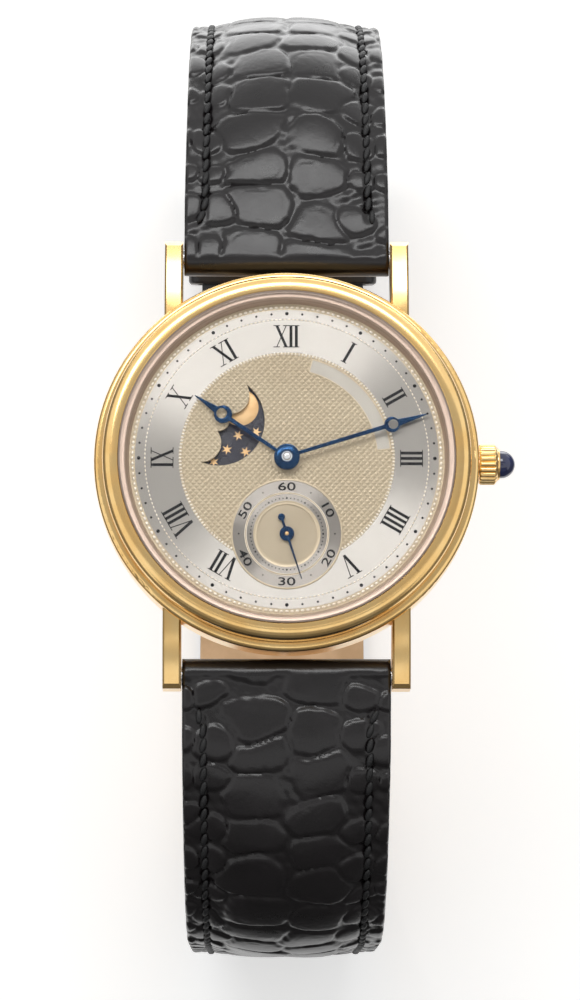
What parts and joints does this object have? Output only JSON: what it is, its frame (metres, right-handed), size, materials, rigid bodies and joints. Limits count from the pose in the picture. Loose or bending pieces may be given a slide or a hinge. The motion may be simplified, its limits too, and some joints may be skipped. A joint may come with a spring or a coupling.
{
  "type": "moon phase wristwatch",
  "caption": "Round gold wristwatch with moon display, small seconds, ring-tipped blued hands, four straight lugs, fluted crown and a two-piece buckled leather strap.",
  "frame": {"origin": "centre of the case back's flat outer face", "axes": "+Z out of the dial, +Y to 12 o'clock, +X to 3 o'clock and the crown"},
  "size_m": [0.0362, 0.0869, 0.0587],
  "materials": {
    "gold": "polished yellow gold",
    "gold_brushed": "satin yellow gold",
    "crystal": "clear, polished",
    "gasket": "black nitrile",
    "holder": "turned brass",
    "rhodium": "rhodium-plated brass with parallel stripes",
    "dial_silver": "silvered, engine-turned",
    "steel": "hardened steel",
    "wheel_gold": "gilt brass",
    "ruby": "synthetic ruby",
    "blue_steel": "heat-blued steel",
    "screw": "polished steel",
    "alloy_spring": "spring alloy",
    "moon": "dark blue enamel with gilt moons and stars",
    "cabochon": "dark blue stone",
    "leather": "glossy black reptile-grain leather",
    "filler": "leather-board padding",
    "lining": "natural tan lining"
  },
  "bodies": {
    "case": {"case_band": "gold", "lugs": "gold", "bezel": "gold", "crystal": "crystal", "crystal_gasket": "gasket", "movement_holder": "holder", "crown_tube": "gold", "main_plate": "rhodium", "dial": "dial_silver", "moon_jumper": "steel", "barrel_bridge": "rhodium", "train_bridge": "rhodium", "balance_cock": "rhodium", "pallet_bridge": "rhodium", "jewels": "ruby", "bridge_screws": "screw", "spring_bars": "steel", "hairspring": "alloy_spring"},
    "back": {"case_back": "gold_brushed", "case_back_gasket": "gasket"},
    "keyless": {"sliding_pinion": "steel", "winding_pinion": "steel"},
    "crown_group": {"crown": "gold", "crown_cabochon": "cabochon", "winding_stem": "steel"},
    "crown_gear": {"crown_wheel": "steel"},
    "ratchet": {"ratchet_wheel": "steel", "barrel_arbor": "steel"},
    "barrel": {"barrel_drum": "wheel_gold", "barrel_cover": "wheel_gold", "mainspring": "alloy_spring"},
    "centre": {"centre_wheel": "wheel_gold"},
    "third": {"third_wheel": "wheel_gold"},
    "seconds": {"fourth_wheel": "wheel_gold", "seconds_hand": "blue_steel"},
    "escape": {"escape_wheel": "steel"},
    "pallet": {"pallet_fork": "steel", "pallet_stones": "ruby"},
    "balance": {"balance_wheel": "wheel_gold", "balance_staff": "steel"},
    "minutes": {"cannon_pinion": "steel", "minute_hand": "blue_steel"},
    "hours": {"hour_wheel": "wheel_gold", "hour_hand": "blue_steel"},
    "minute_gear": {"minute_wheel": "wheel_gold"},
    "day_gear": {"day_wheel": "wheel_gold"},
    "moon": {"moon_disc": "moon"},
    "click_lever": {"click": "steel"},
    "lever": {"setting_lever": "steel"},
    "upper_half": {"strap_upper": "leather", "strap_upper_filler": "filler", "strap_upper_lining": "lining", "keeper_fixed": "leather"},
    "loose_keeper": {"keeper_free": "leather"},
    "buckle": {"buckle_frame": "gold", "buckle_bar": "steel"},
    "tongue": {"buckle_tongue": "gold"},
    "lower_half": {"strap_lower": "leather", "strap_lower_filler": "filler", "strap_lower_lining": "lining"}
  },
  "joints": [
    {"name": "seconds_turn", "type": "hinge", "parent": "case", "child": "seconds", "pos_m": [0, -0.00653, 0.0023], "axis": [0, 0, -1], "continuous": true},
    {"name": "third_turn", "type": "hinge", "parent": "case", "child": "third", "pos_m": [0.00307, -0.00359, 0.0023], "axis": [0, 0, -1], "continuous": true},
    {"name": "centre_turn", "type": "hinge", "parent": "case", "child": "centre", "pos_m": [0, 0, 0.0023], "axis": [0, 0, -1], "continuous": true},
    {"name": "barrel_turn", "type": "hinge", "parent": "case", "child": "barrel", "pos_m": [0.0013, 0.0061, 0.0022], "axis": [0, 0, -1], "continuous": true},
    {"name": "escape_turn", "type": "hinge", "parent": "case", "child": "escape", "pos_m": [-0.00297, -0.00791, 0.0023], "axis": [0, 0, -1], "continuous": true},
    {"name": "pallet_rock", "type": "hinge", "parent": "case", "child": "pallet", "pos_m": [-0.0047, -0.00618, 0.0026], "axis": [0, 0, 1], "range_deg": [-5, 5]},
    {"name": "balance_swing", "type": "hinge", "parent": "case", "child": "balance", "pos_m": [-0.00711, -0.00377, 0.0022], "axis": [0, 0, 1], "range_deg": [-270, 270]},
    {"name": "hands_turn", "type": "hinge", "parent": "case", "child": "minutes", "pos_m": [0, 0, 0.005], "axis": [0, 0, -1], "continuous": true},
    {"name": "hours_turn", "type": "hinge", "parent": "case", "child": "hours", "pos_m": [0, 0, 0.0048], "axis": [0, 0, -1], "continuous": true},
    {"name": "minute_gear_turn", "type": "hinge", "parent": "case", "child": "minute_gear", "pos_m": [0.00295, -0.00052, 0.0041], "axis": [0, 0, -1], "continuous": true},
    {"name": "day_gear_turn", "type": "hinge", "parent": "case", "child": "day_gear", "pos_m": [-0.00052, 0.00295, 0.0044], "axis": [0, 0, -1], "continuous": true},
    {"name": "moon_turn", "type": "hinge", "parent": "case", "child": "moon", "pos_m": [-0.00581, 0.00328, 0.0045], "axis": [0, 0, -1], "continuous": true},
    {"name": "click_turn", "type": "hinge", "parent": "case", "child": "click_lever", "pos_m": [-0.00455, 0.00948, 0.0011], "axis": [0, 0, 1], "range_deg": [0, 12]},
    {"name": "crown_turn", "type": "hinge", "parent": "case", "child": "keyless", "pos_m": [0.008, 0, 0.0025], "axis": [1, 0, 0], "continuous": true},
    {"name": "crown_pull", "type": "slide", "parent": "keyless", "child": "crown_group", "axis": [1, 0, 0], "range_m": [0, 0.0008]},
    {"name": "crown_gear_turn", "type": "hinge", "parent": "case", "child": "crown_gear", "pos_m": [0.00606, 0, 0.0011], "axis": [0, 0, 1], "continuous": true},
    {"name": "ratchet_turn", "type": "hinge", "parent": "case", "child": "ratchet", "pos_m": [0.0013, 0.0061, 0.0011], "axis": [0, 0, 1], "continuous": true},
    {"name": "lever_turn", "type": "hinge", "parent": "case", "child": "lever", "pos_m": [0.0104, -0.0022, 0.0018], "axis": [0, 0, -1], "range_deg": [0, 20.2]},
    {"name": "back_off", "type": "slide", "parent": "case", "child": "back", "axis": [0, 0, -1], "range_m": [0, 0.025]},
    {"name": "upper_strap_swing", "type": "hinge", "parent": "case", "child": "upper_half", "pos_m": [0, 0.0183, 0.0018], "axis": [1, 0, 0], "range_deg": [0, 75]},
    {"name": "lower_strap_swing", "type": "hinge", "parent": "case", "child": "lower_half", "pos_m": [0, -0.0183, 0.0018], "axis": [-1, 0, 0], "range_deg": [0, 75]},
    {"name": "keeper_slide", "type": "hinge", "parent": "upper_half", "child": "loose_keeper", "pos_m": [0, 0.02643, -0.02524], "axis": [1, 0, 0], "range_deg": [-6, 6]},
    {"name": "buckle_swing", "type": "hinge", "parent": "upper_half", "child": "buckle", "pos_m": [0, 0.02345, -0.04429], "axis": [1, 0, 0], "range_deg": [-45, 45]},
    {"name": "tongue_swing", "type": "hinge", "parent": "buckle", "child": "tongue", "pos_m": [0, 0.02345, -0.04429], "axis": [1, 0, 0], "range_deg": [0, 60]}
  ],
  "couplings": [
    {"joint": "third_turn", "follows": "seconds_turn", "ratio": -0.13333},
    {"joint": "centre_turn", "follows": "seconds_turn", "ratio": 0.016667},
    {"joint": "barrel_turn", "follows": "seconds_turn", "ratio": -0.002381},
    {"joint": "escape_turn", "follows": "seconds_turn", "ratio": -10},
    {"joint": "minute_gear_turn", "follows": "hands_turn", "ratio": -0.33333},
    {"joint": "hours_turn", "follows": "hands_turn", "ratio": 0.083333},
    {"joint": "day_gear_turn", "follows": "hands_turn", "ratio": -0.041667},
    {"joint": "crown_gear_turn", "follows": "crown_turn", "ratio": 0.53846},
    {"joint": "ratchet_turn", "follows": "crown_turn", "ratio": -0.23333},
    {"joint": "lever_turn", "follows": "crown_pull", "rad_per_m": 436}
  ]
}
